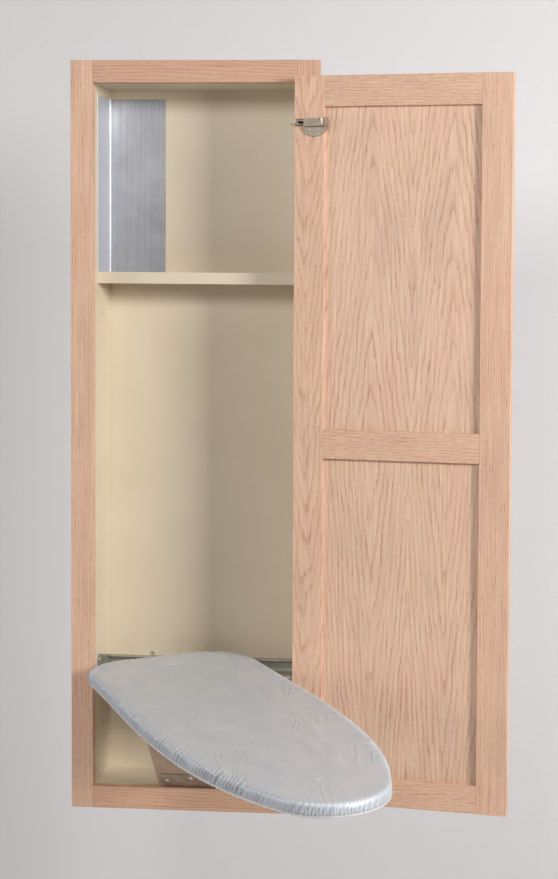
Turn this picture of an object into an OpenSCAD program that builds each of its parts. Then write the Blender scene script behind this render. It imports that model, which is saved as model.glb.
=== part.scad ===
// Recessed ironing board cabinet with a mirror door, shown with the door open,
// the board folded down and turned to the right. Millimetres, +Z up, front is -Y.
// The origin lies on the back of the face frame, on the centreline, halfway down
// the flange that laps the wall below the case.

/* [Face frame] */
// Outer width of the face frame
frame_w = 413; // [408:1:440]
// Outer height of the face frame
frame_h = 1244; // [1240:1:1300]
// Width of the stiles and rails of the face frame
frame_member = 36.5; // [34:0.5:40]
// Thickness of the face frame
frame_t = 19; // [16:0.5:22]
// Depth of the rebates in its back that the case panels are let into
rebate = 3; // [2:0.5:6]

/* [Case] */
// Thickness of the side, top and bottom panels
case_t = 12.7; // [10:0.1:16]
// Depth of the case behind the face frame, in front of its back panel
case_depth = 86; // [85:1:120]
// Thickness of the back panel
back_t = 6; // [3:0.5:12]
// Thickness of the shelf
shelf_t = 19; // [16:0.5:20]
// Height of the shelf's top above the case floor
shelf_height = 860.5; // [860:0.5:900]
// How far the shelf's front edge stands behind the face frame
shelf_setback = 12; // [6:1:25]
// Radius of the holes for the screws into the wall studs
stud_hole_r = 2.5; // [2:0.1:3.5]
// Height of the lower stud holes above the case floor
stud_hole_height = 90; // [60:5:140]
// Distance between the lower and the upper stud holes
stud_hole_spacing = 700; // [500:10:700]

/* [Heat shield] */
// Thickness of the sheet
shield_t = 0.8; // [0.5:0.1:1.2]
// Width of the leg on the back panel
shield_back_w = 97; // [70:1:160]
// Gap between the sheet's upper edge and the case's ceiling
shield_top_gap = 16.5; // [8:0.5:60]

/* [Cross channel] */
// Height of the channel
channel_h = 20; // [16:1:24]
// Depth of the channel
channel_depth = 12; // [10:1:13]
// Sheet thickness of the channel and of its end brackets
channel_t = 1.5; // [1:0.1:2]
// Width of the lip that the board platform bears up against
bracket_lip_w = 20; // [18:1:22]
// How far the brackets run forward of the channel
bracket_reach = 68; // [60:1:72]
// How much higher the bracket is at its front end
bracket_rise = 18; // [10:1:22]
// Distance between the two screws in the back panel above the channel
channel_screw_gap = 156; // [120:1:180]
// How far those two screws lie to the left of the centreline
channel_screw_shift = 16; // [0:1:20]

/* [Board] */
// Length of the board's wooden core
board_l = 793; // [700:1:794]
// Width of the core at its wide end
board_w = 269; // [250:1:286]
// Radius of the two corners of the wide end
board_corner_r = 72; // [60:1:110]
// Radius of the nose
board_nose_r = 81; // [60:1:90]
// Angle by which each side slants in where it meets the nose
board_taper = 24.5; // [10:0.5:25]
// How far the sides run on straight from the wide end before they bend in
board_straight = 225; // [200:5:340]
// How far the slant runs back from the nose
board_taper_run = 225; // [150:5:250]
// Thickness of the core
core_t = 12.7; // [12:0.1:13]
// Thickness of the pad
pad_t = 5; // [3:0.5:5.5]
// Thickness of the cover cloth
cover_t = 1; // [0.8:0.1:1.2]
// How far the cover's hem reaches in under the board
hem_w = 20; // [15:1:30]
// Radius of the rounded upper rim of the cover
rim_r = 5; // [3:0.5:5.5]
// Width of the elastic band in the hem
elastic_w = 4; // [3:0.5:6]
// Distance from the wide end of the core to the swivel
board_tail = 116.5; // [116:0.5:120]
// How far the board is turned to the right
board_turn = 30.9; // [0:0.1:32]

/* [Platform and brace] */
// Distance from the front of the face frame to the swivel
swivel_reach = 77.5; // [72:0.5:78]
// Height of the core's underside above the case floor
core_height = 198.8; // [190:0.1:206]
// Thickness of the platform
platform_t = 12; // [11:0.5:12]
// Width of the platform
platform_w = 130; // [124:1:180]
// How far the platform runs in front of the swivel
platform_front = 102; // [100:1:120]
// How far the platform runs behind the swivel
platform_rear = 144; // [140:1:146]
// Radius of the bar across the platform's rear
rear_bar_r = 4; // [3:0.5:4.5]
// Gap between each end of the rear bar and the side panel
rear_bar_end_gap = 7; // [5:0.5:12]
// Horizontal distance from the brace's foot pin to its top pin
brace_reach = 159; // [155:1:162]
// How far the folded brace's top pin stands behind its foot pin
top_pin_setback = 9; // [9:0.5:10]
// Thickness of the brace
brace_t = 9; // [6:0.5:9]
// Width of the brace at its foot
brace_foot_w = 119; // [112:1:130]
// Width of the brace at its top
brace_top_w = 95; // [90:1:112]

/* [Hinges of the brace] */
// Width of the hinge at the brace's foot
foot_butt_w = 106; // [90:1:110]
// Length from the pin of that hinge's leaf on the brace
foot_leaf = 43; // [38:1:50]
// Width of the hinge at the brace's top
top_butt_w = 86; // [70:1:90]
// Length of the other leaves from the pin
butt_leaf = 24; // [20:1:28]
// Thickness of a leaf
butt_t = 2; // [1.5:0.1:2]
// Radius of the knuckles
knuckle_r = 4; // [3.5:0.1:4]
// Radius of the hinge pins
pin_r = 2; // [1.5:0.1:2.2]
// Number of knuckles
knuckles = 5; // [3:2:7]

/* [Swivel] */
// Radius of the two swivel plates
swivel_r = 58; // [54:1:62]
// Thickness of the swivel plates
swivel_t = 3; // [2:0.5:3]
// Radius of the pivot bolt
bolt_r = 5; // [4:0.5:6]
// Radius of the pivot bolt's head
bolt_head_r = 9; // [8:0.5:10]
// Height of the pivot bolt's head
bolt_head_h = 4; // [3:0.5:5]
// Height of the thin nut under the platform
nut_h = 4; // [3:0.5:4.5]

/* [Door] */
// How far the closed door laps the face frame at its two sides
side_overlay = 8.5; // [8:0.5:10]
// How far the closed door laps the face frame at its top
top_overlay = 7; // [6:0.5:9]
// How far the closed door laps the face frame at its bottom
bottom_overlay = 2; // [2:0.5:5]
// Thickness of the door
door_t = 19; // [17:0.5:20]
// Width of the door's stiles
door_stile_w = 50; // [48:1:60]
// Width of the door's top rail
door_top_rail_w = 49.5; // [45:0.5:60]
// Width of the door's bottom rail
door_bottom_rail_w = 45.5; // [45:0.5:60]
// Width of the middle rail
mid_rail_w = 47.5; // [45:0.5:60]
// Height of the middle rail's centre above the door's lower edge
mid_rail_height = 587; // [450:1:700]
// Thickness of the flat panels
panel_t = 6; // [5:0.5:7]
// Depth of the grooves that hold the panels
groove = 7; // [5:0.5:8]
// How far the door stands open
door_open = 171.8; // [150:0.1:175]
// Gap between the closed door and the face frame
door_gap = 1; // [0.5:0.1:2]

/* [Door hinges] */
// Distance from the door's ends to the hinges
hinge_inset = 74.5; // [60:0.5:120]
// How far the hinge pin lies in from the door's edge
pin_inset = 3.5; // [3:0.1:4]
// How far the hinge pin lies in front of the door's inner face
pin_depth = 12.6; // [12:0.1:13]
// Radius of the hinge pin
door_pin_r = 1.8; // [1.5:0.1:2]
// Radius of the hinge barrel
barrel_r = 3.6; // [3.2:0.1:4]
// Radius of the cup let into the door
cup_r = 13; // [12:0.5:13.5]
// Distance from the door's edge to the cup's centre
cup_inset = 28; // [27:0.5:28.5]
// How far the cup's centre lies below the arm
cup_drop = 7; // [6.5:0.5:8]
// Radius of the half-round flange below the arm
cup_flange_r = 23; // [22:0.5:24]

/* [Mirror] */
// Thickness of the mirror
mirror_t = 4; // [3:0.5:5]
// Distance from the door's edge to the mirror
mirror_margin = 18; // [14:1:40]
// Length of a mirror clip
clip_l = 16; // [12:1:24]

/* [Hidden] */
$fn = 96;
eps = 0.01;
run_gap = 0.3;      // clearance between pieces that move past each other
pin_gap = 0.05;     // radial running clearance of the pins and the pivot bolt
foot_setback = 9;   // how far the foot pin stands behind the frame's front
leaf_corner_r = 8;  // rounded corners of the hinge leaves

// case and face frame
open_w = frame_w - 2 * frame_member;
open_h = frame_h - 2 * frame_member;
case_w = open_w + 2 * case_t;
flange_w = frame_member - case_t;
frame_z = -flange_w / 2;
floor_z = frame_z + frame_member;
ceiling_z = floor_z + open_h;
shelf_z = floor_z + shelf_height;
shield_h = ceiling_z - shield_top_gap - shelf_z;

// brace and platform
foot_y = -frame_t + foot_setback;
foot_z = floor_z + run_gap + knuckle_r;
core_z = floor_z + core_height;
swivel_y = -frame_t - swivel_reach;
nose_y = board_tail - board_l + board_nose_r;
race_h = 7;
platform_top = core_z - swivel_t - run_gap - race_h - swivel_t;
platform_z = platform_top - platform_t;
top_pin_y = foot_y - brace_reach;
top_pin_z = platform_z - knuckle_r;
brace_rise = top_pin_z - foot_z;
brace_len = norm([brace_reach, brace_rise]);
brace_lean = atan2(brace_reach, brace_rise) + asin(top_pin_setback / brace_len);
brace_pin_h = sqrt(brace_len * brace_len - top_pin_setback * top_pin_setback);
rear_bar_l = open_w - 2 * rear_bar_end_gap;
rear_bar_z = platform_z - run_gap;
channel_z = rear_bar_z + rear_bar_r + run_gap;
channel_y = case_depth - channel_depth;
rear_bar_y = swivel_y + platform_rear + rear_bar_r;

// door
door_w = open_w + 2 * side_overlay;
door_h = open_h + bottom_overlay + top_overlay;
door_z = floor_z - bottom_overlay;
door_edge_x = open_w / 2 + side_overlay;
door_inner_y = -frame_t - door_gap;
pin_x = door_edge_x - pin_inset;
pin_y = door_inner_y - pin_depth;
mid_rail_z = door_z + mid_rail_height;
hinge_heights = [door_z + hinge_inset, door_z + door_h - hinge_inset];
link_t = 3;
link_h = 4;
wing_t = 2.5;
flange_t = 2;
plate_t = 5;
arm_half_h = 6.3;
arm_start = 17;
arm_end = 43;

// small fasteners
screw_head_r = 3.5;
screw_head_h = 0.8;
screw_shank_r = 1.5;

// colours
oak = [0.84, 0.69, 0.59];
panel_oak = [0.83, 0.70, 0.61];
melamine = [0.88, 0.83, 0.74];
galvanised = [0.72, 0.73, 0.75];
zinc = [0.66, 0.66, 0.62];
nickel = [0.62, 0.59, 0.55];
hardboard = [0.55, 0.46, 0.39];
plywood = [0.80, 0.68, 0.52];
felt = [0.85, 0.83, 0.78];
silver_cloth = [0.69, 0.69, 0.69];
silvered = [0.80, 0.84, 0.86];

// ---- shared forms ----

// a box from its low corner to its high corner
module block(low, high) {
    translate(low) cube(high - low);
}

// a plate in the XY plane with rounded corners, centred in X and Y
module round_plate(size, r, h) {
    union() {
        translate([-size[0] / 2 + r, -size[1] / 2, 0]) cube([size[0] - 2 * r, size[1], h]);
        translate([-size[0] / 2, -size[1] / 2 + r, 0]) cube([size[0], size[1] - 2 * r, h]);
        for (x = [-1, 1], y = [-1, 1])
            translate([x * (size[0] / 2 - r), y * (size[1] / 2 - r), 0]) cylinder(r = r, h = h);
    }
}

// a pan head on a short shank, standing on the XY plane and driven down along -Z
module screw(head_r, head_h, shank_r, shank_l) {
    cylinder(r1 = head_r, r2 = head_r * 0.7, h = head_h);
    translate([0, 0, -shank_l]) cylinder(r = shank_r, h = shank_l + eps);
}

// one leaf of a butt hinge: pin along X through the origin, leaf along +Y.
// part 0 takes the outer knuckles and part 1 those between them; drop is how
// far the leaf's underside lies below the pin
module butt_hinge_leaf(part, drop, wide, long = butt_leaf) {
    pitch = wide / knuckles;
    difference() {
        union() {
            intersection() {
                block([-wide / 2, 0, -drop], [wide / 2, long, butt_t - drop]);
                union() {
                    block([-wide / 2, -knuckle_r, -2 * knuckle_r],
                        [wide / 2, long - leaf_corner_r, 2 * knuckle_r]);
                    block([leaf_corner_r - wide / 2, 0, -2 * knuckle_r],
                        [wide / 2 - leaf_corner_r, long, 2 * knuckle_r]);
                    for (x = [-1, 1])
                        translate([x * (wide / 2 - leaf_corner_r),
                            long - leaf_corner_r, -2 * knuckle_r])
                            cylinder(r = leaf_corner_r, h = 4 * knuckle_r);
                }
            }
            for (k = [part:2:knuckles - 1])
                translate([-wide / 2 + k * pitch + run_gap / 2, 0, 0]) rotate([0, 90, 0])
                    cylinder(r = knuckle_r, h = pitch - run_gap);
        }
        translate([-wide / 2 - 1, 0, 0]) rotate([0, 90, 0])
            cylinder(r = pin_r + pin_gap, h = wide + 2);
        for (k = [1 - part:2:knuckles - 1])
            translate([-wide / 2 + k * pitch - run_gap / 2, 0, 0]) rotate([0, 90, 0])
                cylinder(r = knuckle_r + run_gap, h = pitch + run_gap);
    }
}

module butt_hinge_pin(wide) {
    translate([-wide / 2, 0, 0]) rotate([0, 90, 0]) cylinder(r = pin_r, h = wide);
}

// ---- where the moving pieces stand ----

// the board as it lies over the platform, its swivel at the origin, nose along -Y
module at_board() {
    translate([0, swivel_y, core_z]) rotate([0, 0, board_turn]) children();
}

// the brace as it stands folded, its foot pin at the origin
module at_brace() {
    translate([0, foot_y, foot_z]) rotate([brace_lean, 0, 0]) children();
}

// the door as it lies closed, turned open about its hinge pins
module at_door() {
    translate([pin_x, pin_y, 0]) rotate([0, 0, door_open])
        translate([-pin_x, -pin_y, 0]) children();
}

// ---- face frame and case ----

// the room that the case takes up in the back of the face frame
module case_rebate() {
    block([-case_w / 2, -rebate, floor_z - case_t], [case_w / 2, 1, ceiling_z + case_t]);
}

module frame_stile(side) {
    x = side * (frame_w - frame_member) / 2;
    difference() {
        block([x - frame_member / 2, -frame_t, frame_z],
            [x + frame_member / 2, 0, frame_z + frame_h]);
        case_rebate();
    }
}

module left_stile() color(oak) frame_stile(-1);

module right_stile() color(oak) frame_stile(1);

module frame_rail(z) {
    difference() {
        block([-open_w / 2, -frame_t, z], [open_w / 2, 0, z + frame_member]);
        case_rebate();
    }
}

module top_rail() color(oak) frame_rail(ceiling_z);

module bottom_rail() color(oak) frame_rail(frame_z);

module side_panel(side) {
    inner_x = side * open_w / 2;
    outer_x = side * case_w / 2;
    difference() {
        block([min(inner_x, outer_x), -rebate, floor_z - case_t],
            [max(inner_x, outer_x), case_depth, ceiling_z + case_t]);
        for (z = [0, stud_hole_spacing])
            translate([-case_w, case_depth / 2, floor_z + stud_hole_height + z])
                rotate([0, 90, 0]) cylinder(r = stud_hole_r, h = 2 * case_w);
    }
}

module left_side_panel() color(melamine) side_panel(-1);

module right_side_panel() color(melamine) side_panel(1);

module case_end(z) {
    block([-open_w / 2, -rebate, z], [open_w / 2, case_depth, z + case_t]);
}

module top_panel() color(melamine) case_end(ceiling_z);

module bottom_panel() color(melamine) case_end(floor_z - case_t);

module back_panel() {
    color(melamine) block([-case_w / 2, case_depth, floor_z - case_t],
        [case_w / 2, case_depth + back_t, ceiling_z + case_t]);
}

module shelf() {
    color(melamine) block([-open_w / 2, shelf_setback, shelf_z - shelf_t],
        [open_w / 2, case_depth, shelf_z]);
}

module heat_shield() {
    x = -open_w / 2;
    color(galvanised) union() {
        block([x, shelf_setback, shelf_z], [x + shield_t, case_depth, shelf_z + shield_h]);
        block([x, case_depth - shield_t, shelf_z],
            [x + shield_back_w, case_depth, shelf_z + shield_h]);
    }
}

// ---- steel across the case behind the board ----

module cross_channel() {
    half = open_w / 2 - channel_t;
    back = case_depth - channel_t;
    color(zinc) union() {
        block([-half, back, channel_z], [half, case_depth, channel_z + channel_h]);
        for (z = [channel_z, channel_z + channel_h - channel_t])
            block([-half, channel_y, z], [half, case_depth, z + channel_t]);
    }
}

module channel_bracket(side) {
    front = channel_y - bracket_reach;
    high = channel_z + channel_h;
    wall = side * open_w / 2;
    lip = side * (open_w / 2 - bracket_lip_w);
    lip_front = rear_bar_y - 2 * rear_bar_r;
    lip_back = rear_bar_y + 2 * rear_bar_r;
    union() {
        translate([side > 0 ? wall - channel_t : wall, 0, 0]) rotate([90, 0, 90])
            linear_extrude(channel_t)
                polygon([[front, channel_z], [case_depth, channel_z], [case_depth, high],
                    [front + 8, high + bracket_rise], [front, high + bracket_rise - 8]]);
        block([min(wall, lip), lip_front, channel_z],
            [max(wall, lip), lip_back, channel_z + channel_t]);
    }
}

module channel_brackets() {
    color(zinc) for (side = [-1, 1]) channel_bracket(side);
}

module channel_screws() {
    front = channel_y - bracket_reach;
    high = channel_z + channel_h;
    inset = 9;
    color(nickel) {
        for (x = [-1, 1])
            translate([x * channel_screw_gap / 2 - channel_screw_shift, case_depth,
                high + screw_head_r + 1])
                rotate([90, 0, 0]) screw(screw_head_r, 1.6, screw_shank_r, back_t - 1);
        for (side = [-1, 1])
            translate([side * (open_w / 2 - channel_t), front + inset,
                high + bracket_rise - inset])
                rotate([0, -side * 90, 0])
                    screw(screw_head_r, 1.6, screw_shank_r, channel_t + 6);
    }
}

// ---- foot hinge, fixed side ----

module foot_hinge_fixed_leaf() {
    color(nickel) translate([0, foot_y, foot_z])
        butt_hinge_leaf(1, knuckle_r + run_gap, foot_butt_w);
}

module foot_hinge_pin() {
    color(nickel) translate([0, foot_y, foot_z]) butt_hinge_pin(foot_butt_w);
}

module foot_hinge_floor_screws() {
    color(nickel) for (x = [-1, 0, 1])
        translate([x * foot_butt_w * 0.36, foot_y + butt_leaf - 8, floor_z + butt_t])
            screw(screw_head_r, screw_head_h, screw_shank_r, butt_t + 5);
}

// ---- brace ----

module brace_panel() {
    low = knuckle_r + 1;
    high = brace_pin_h - knuckle_r - 1;
    front = butt_t - knuckle_r;
    color(hardboard) at_brace() translate([0, front + brace_t, 0]) rotate([90, 0, 0])
        linear_extrude(brace_t)
            polygon([[-brace_foot_w / 2, low], [brace_foot_w / 2, low],
                [brace_top_w / 2, high], [-brace_top_w / 2, high]]);
}

module foot_hinge_brace_leaf() {
    color(nickel) at_brace() mirror([0, 0, 1]) rotate([-90, 0, 0])
        butt_hinge_leaf(0, knuckle_r, foot_butt_w, foot_leaf);
}

module foot_hinge_brace_screws() {
    color(nickel) at_brace() for (x = [-1, 0, 1])
        translate([x * foot_butt_w * 0.39, -knuckle_r, foot_leaf - 10 - 10 * abs(x)])
            rotate([90, 0, 0]) screw(screw_head_r, screw_head_h, screw_shank_r, butt_t + 5);
}

// the leaf lies on the back of the brace, below the pin
module top_hinge_brace_leaf() {
    color(nickel) at_brace() translate([0, top_pin_setback, brace_pin_h])
        rotate([-90, 0, 0]) butt_hinge_leaf(0, brace_leaf_drop(), top_butt_w);
}

function brace_leaf_drop() = top_pin_setback - brace_t - butt_t + knuckle_r;

module top_hinge_pin() {
    color(nickel) translate([0, top_pin_y, top_pin_z]) butt_hinge_pin(top_butt_w);
}

// ---- platform ----

module platform() {
    front_y = swivel_y - platform_front;
    rear_y = swivel_y + platform_rear;
    color(plywood) difference() {
        translate([0, (front_y + rear_y) / 2, platform_z])
            round_plate([platform_w, rear_y - front_y], 12, platform_t);
        translate([0, swivel_y, platform_z - 1])
            cylinder(r = bolt_r + pin_gap, h = platform_t + 2);
    }
}

module top_hinge_platform_leaf() {
    color(nickel) translate([0, top_pin_y, top_pin_z])
        butt_hinge_leaf(1, butt_t - knuckle_r, top_butt_w);
}

module platform_rear_bar() {
    tab_z = platform_z - 3;
    color(zinc) union() {
        translate([-rear_bar_l / 2, rear_bar_y, rear_bar_z]) rotate([0, 90, 0])
            cylinder(r = rear_bar_r, h = rear_bar_l);
        for (x = [-1, 1])
            block([x * platform_w * 0.35 - 10, rear_bar_y - 30, tab_z],
                [x * platform_w * 0.35 + 10, rear_bar_y, platform_z]);
    }
}

// the lower plate carries the raised race that the board turns on
module swivel_base_plate() {
    z = platform_top;
    color(zinc) translate([0, swivel_y, z]) difference() {
        union() {
            cylinder(r = swivel_r, h = swivel_t);
            cylinder(r = swivel_r * 0.68, h = swivel_t + race_h);
        }
        translate([0, 0, -1]) cylinder(r = bolt_r + pin_gap, h = swivel_t + race_h + 2);
        translate([0, 0, swivel_t])
            cylinder(r = swivel_r * 0.52, h = race_h + 1);
    }
}

module swivel_base_screws() {
    color(nickel) translate([0, swivel_y, platform_top + swivel_t])
        for (a = [45:90:315]) rotate([0, 0, a]) translate([swivel_r * 0.84, 0, 0])
            screw(screw_head_r, 1.6, screw_shank_r, swivel_t + 6);
}

module pivot_bolt() {
    top = core_z + bolt_head_h;
    low = platform_z - nut_h - 0.5;
    color(nickel) translate([0, swivel_y, 0]) union() {
        translate([0, 0, low]) cylinder(r = bolt_r, h = top - low);
        translate([0, 0, core_z + pin_gap]) cylinder(r = bolt_head_r, h = bolt_head_h);
    }
}

module pivot_nut() {
    color(nickel) translate([0, swivel_y, platform_z - nut_h]) difference() {
        cylinder(r = bolt_r * 1.8, h = nut_h, $fn = 6);
        translate([0, 0, -1]) cylinder(r = bolt_r + pin_gap, h = nut_h + 2, $fn = 96);
    }
}

// ---- board ----

// the right half of the outline runs from the wide end round the corner, down
// a smooth side curve and round the nose, grown outwards by g
function side_point(t, g) = let (
        p0 = [board_w / 2, board_tail - board_corner_r],
        p3 = [board_nose_r * cos(board_taper), nose_y - board_nose_r * sin(board_taper)],
        p1 = p0 - [0, board_straight],
        p2 = p3 + board_taper_run * [sin(board_taper), cos(board_taper)],
        s = 1 - t,
        along = s * s * (p1 - p0) + 2 * s * t * (p2 - p1) + t * t * (p3 - p2),
        out = [-along[1], along[0]] / norm(along))
    s * s * s * p0 + 3 * s * s * t * p1 + 3 * s * t * t * p2 + t * t * t * p3 + g * out;

function right_half(g) = let (
        corner_x = board_w / 2 - board_corner_r,
        corner_y = board_tail - board_corner_r,
        corner_r = board_corner_r + g,
        nose_r = board_nose_r + g)
    concat(
        [for (k = [0:12]) let (a = 90 - 90 * k / 12)
            [corner_x + corner_r * cos(a), corner_y + corner_r * sin(a)]],
        [for (k = [1:13]) side_point(k / 14, g)],
        [for (k = [0:11]) let (a = -board_taper - (90 - board_taper) * k / 12)
            [nose_r * cos(a), nose_y + nose_r * sin(a)]]);

function outline(g) = let (right = right_half(g))
    concat(right, [[0, nose_y - board_nose_r - g]],
        [for (k = [len(right) - 1:-1:0]) [-right[k][0], right[k][1]]]);

module board_outline(g) {
    polygon(outline(g));
}

module board_core() {
    pocket = bolt_head_h + 1;
    color(plywood) at_board() difference() {
        linear_extrude(core_t) board_outline(0);
        translate([0, 0, -1]) cylinder(r = bolt_head_r + 2, h = pocket + 1);
    }
}

module board_pad() {
    color(felt) at_board() translate([0, 0, core_t]) linear_extrude(pad_t)
        board_outline(-rim_r * 0.6);
}

// the outline as a ring of points at height z
function rim_ring(g, z) = [for (p = outline(g)) [p[0], p[1], z]];

// a closed solid through rings of equal counts, lowest ring first
module ring_solid(rings) {
    n = len(rings[0]);
    m = len(rings);
    bottom = [for (k = [0:n - 1]) k];
    top = [for (k = [n - 1:-1:0]) (m - 1) * n + k];
    walls = [for (j = [0:m - 2], k = [0:n - 1]) let (q = (k + 1) % n)
        each [[j * n + q, j * n + k, (j + 1) * n + k],
            [j * n + q, (j + 1) * n + k, (j + 1) * n + q]]];
    polyhedron(points = [for (ring = rings) each ring],
        faces = concat([bottom], walls, [top]));
}

// the cloth over pad and core, rounded at its upper rim and turned in below
module board_cover() {
    crown = core_t + pad_t + cover_t;
    steps = 4;
    color(silver_cloth) at_board() difference() {
        ring_solid(concat(
            [rim_ring(-0.4 * cover_t, -cover_t), rim_ring(cover_t, 0.4 * cover_t)],
            [for (k = [0:steps]) let (a = 90 * k / steps)
                rim_ring(cover_t - rim_r * (1 - cos(a)), crown - rim_r * (1 - sin(a)))]));
        linear_extrude(core_t) board_outline(eps);
        linear_extrude(core_t + pad_t) board_outline(-rim_r * 0.6 + eps);
        translate([0, 0, -cover_t - 1]) linear_extrude(core_t) board_outline(-hem_w);
    }
}

module hem_elastic() {
    color("white") at_board() translate([0, 0, -cover_t]) linear_extrude(cover_t)
        difference() {
            board_outline(-hem_w);
            board_outline(-hem_w - elastic_w);
        }
}

module swivel_board_plate() {
    color(zinc) at_board() translate([0, 0, -swivel_t]) difference() {
        cylinder(r = swivel_r, h = swivel_t);
        translate([0, 0, -1]) cylinder(r = bolt_r + pin_gap, h = swivel_t + 2);
    }
}

module swivel_board_screws() {
    color(nickel) at_board() translate([0, 0, -swivel_t]) mirror([0, 0, 1])
        for (a = [0:90:270]) rotate([0, 0, a]) translate([swivel_r * 0.84, 0, 0])
            screw(screw_head_r, 1.6, screw_shank_r, swivel_t + 6);
}

// ---- door ----

// the groove that runs round the inside of the door's frame for the panels
module panel_space(grow) {
    y = door_inner_y - (door_t + panel_t) / 2;
    low_x = door_edge_x - door_w + door_stile_w - grow;
    high_x = door_edge_x - door_stile_w + grow;
    low_z = door_z + door_bottom_rail_w - grow;
    mid_low_z = mid_rail_z - mid_rail_w / 2 + grow;
    mid_high_z = mid_rail_z + mid_rail_w / 2 - grow;
    high_z = door_z + door_h - door_top_rail_w + grow;
    block([low_x, y, low_z], [high_x, y + panel_t, mid_low_z]);
    block([low_x, y, mid_high_z], [high_x, y + panel_t, high_z]);
}

// the mortises that the hinge cups and barrels lie in
module hinge_mortises() {
    barrel_h = link_h + 2 * wing_t;
    for (z = hinge_heights) translate([0, 0, z]) {
        translate([door_edge_x - cup_inset, door_inner_y + 1, -cup_drop]) rotate([90, 0, 0])
            cylinder(r = cup_r + run_gap / 2, h = 12 + 1);
        block([pin_x - barrel_r - 1, door_inner_y - door_t - 1, -barrel_h / 2 - 1],
            [door_edge_x + 1, door_inner_y + 1, barrel_h / 2 + 1]);
        block([door_edge_x - cup_inset, pin_y - barrel_r - 1, -barrel_h / 2 - 1],
            [door_edge_x + 1, door_inner_y + 1, barrel_h / 2 + 1]);
    }
}

module door_stile(low_x) {
    difference() {
        block([low_x, door_inner_y - door_t, door_z],
            [low_x + door_stile_w, door_inner_y, door_z + door_h]);
        panel_space(groove);
    }
}

module door_hinge_stile() {
    color(oak) at_door() difference() {
        door_stile(door_edge_x - door_stile_w);
        hinge_mortises();
    }
}

module door_outer_stile() {
    color(oak) at_door() door_stile(door_edge_x - door_w);
}

module door_rail(low_z, width) {
    low_x = door_edge_x - door_w + door_stile_w;
    difference() {
        block([low_x, door_inner_y - door_t, low_z],
            [door_edge_x - door_stile_w, door_inner_y, low_z + width]);
        panel_space(groove);
    }
}

module door_top_rail() {
    color(oak) at_door() door_rail(door_z + door_h - door_top_rail_w, door_top_rail_w);
}

module door_middle_rail() {
    color(oak) at_door() door_rail(mid_rail_z - mid_rail_w / 2, mid_rail_w);
}

module door_bottom_rail() {
    color(oak) at_door() door_rail(door_z, door_bottom_rail_w);
}

module door_upper_panel() {
    color(panel_oak) at_door() intersection() {
        panel_space(groove);
        block([-door_w, -door_w, mid_rail_z], [door_w, 0, door_z + door_h]);
    }
}

module door_lower_panel() {
    color(panel_oak) at_door() intersection() {
        panel_space(groove);
        block([-door_w, -door_w, door_z], [door_w, 0, mid_rail_z]);
    }
}

// ---- door hinges ----

// plate on the edge of the right stile, with the link that carries the barrel
module frame_hinge_plate() {
    plate_x = open_w / 2;
    plate_h = 32;
    link_y = -frame_t + link_t;
    union() {
        block([plate_x - plate_t, -frame_t + 1, link_h / 2 - plate_h],
            [plate_x, -rebate - 1, link_h / 2]);
        difference() {
            union() {
                translate([0, 0, -link_h / 2]) linear_extrude(link_h)
                    polygon([[plate_x - plate_t, link_y], [plate_x, -frame_t],
                        [pin_x + link_t / 2, pin_y], [pin_x - link_t / 2, pin_y]]);
                translate([pin_x, pin_y, -link_h / 2]) cylinder(r = barrel_r, h = link_h);
            }
            translate([pin_x, pin_y, -link_h])
                cylinder(r = door_pin_r + pin_gap, h = 2 * link_h);
        }
    }
}

module door_hinge_frame_plates() {
    color(nickel) for (z = hinge_heights) translate([0, 0, z]) frame_hinge_plate();
}

// two screws into the stile and the adjusting screw that stands out of the link
module door_hinge_plate_screws() {
    face_x = open_w / 2 - plate_t;
    color(nickel) for (z = hinge_heights) translate([face_x, -frame_t, z]) {
        for (dy = [0, 8])
            translate([0, 6 + dy, -12 - dy]) rotate([0, -90, 0])
                screw(2.6, screw_head_h, screw_shank_r, plate_t + 6);
        translate([0, 9, 0]) rotate([0, -90, 0]) {
            translate([0, 0, -3]) cylinder(r = 1, h = 9);
            translate([0, 0, 6]) cylinder(r = 1.8, h = 2);
        }
    }
}

// two wings at the barrel, carried over the door's inner face to the arm's box,
// with a roller and an end plate beyond it
module hinge_arm() {
    proud = 7;
    low_y = door_inner_y + flange_t;
    high_y = door_inner_y + proud;
    start_x = door_edge_x - arm_start;
    end_x = door_edge_x - arm_end;
    roller_r = 3.5;
    wing_gap = run_gap / 2;
    difference() {
        union() {
            for (side = [-1, 1]) {
                z = side * (link_h / 2 + wing_gap + wing_t / 2) - wing_t / 2;
                translate([pin_x, pin_y, z]) cylinder(r = barrel_r, h = wing_t);
                translate([0, 0, z]) linear_extrude(wing_t)
                    polygon([[pin_x, pin_y - barrel_r], [pin_x + barrel_r, pin_y],
                        [pin_x + 1, door_inner_y], [start_x + 2, door_inner_y],
                        [start_x - 1, high_y - 2], [start_x - 1, low_y],
                        [start_x, door_inner_y]]);
            }
            block([end_x, low_y, -arm_half_h], [start_x, high_y, arm_half_h]);
            translate([end_x - roller_r + 0.5, low_y + roller_r, -arm_half_h])
                cylinder(r = roller_r, h = 2 * arm_half_h);
            block([end_x - 14, low_y, 1 - arm_half_h], [end_x, low_y + 1.5, arm_half_h + 1]);
            block([end_x - 14, low_y, 1 - arm_half_h],
                [end_x - 12, high_y, arm_half_h + 1]);
        }
        translate([pin_x, pin_y, -barrel_r * 3])
            cylinder(r = door_pin_r + pin_gap, h = barrel_r * 6);
    }
}

module door_hinge_arms() {
    color(nickel) at_door() for (z = hinge_heights) translate([0, 0, z]) hinge_arm();
}

module door_hinge_pins() {
    l = link_h + 2 * wing_t + run_gap;
    color(nickel) at_door() for (z = hinge_heights)
        translate([pin_x, pin_y, z - l / 2]) cylinder(r = door_pin_r, h = l);
}

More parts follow.
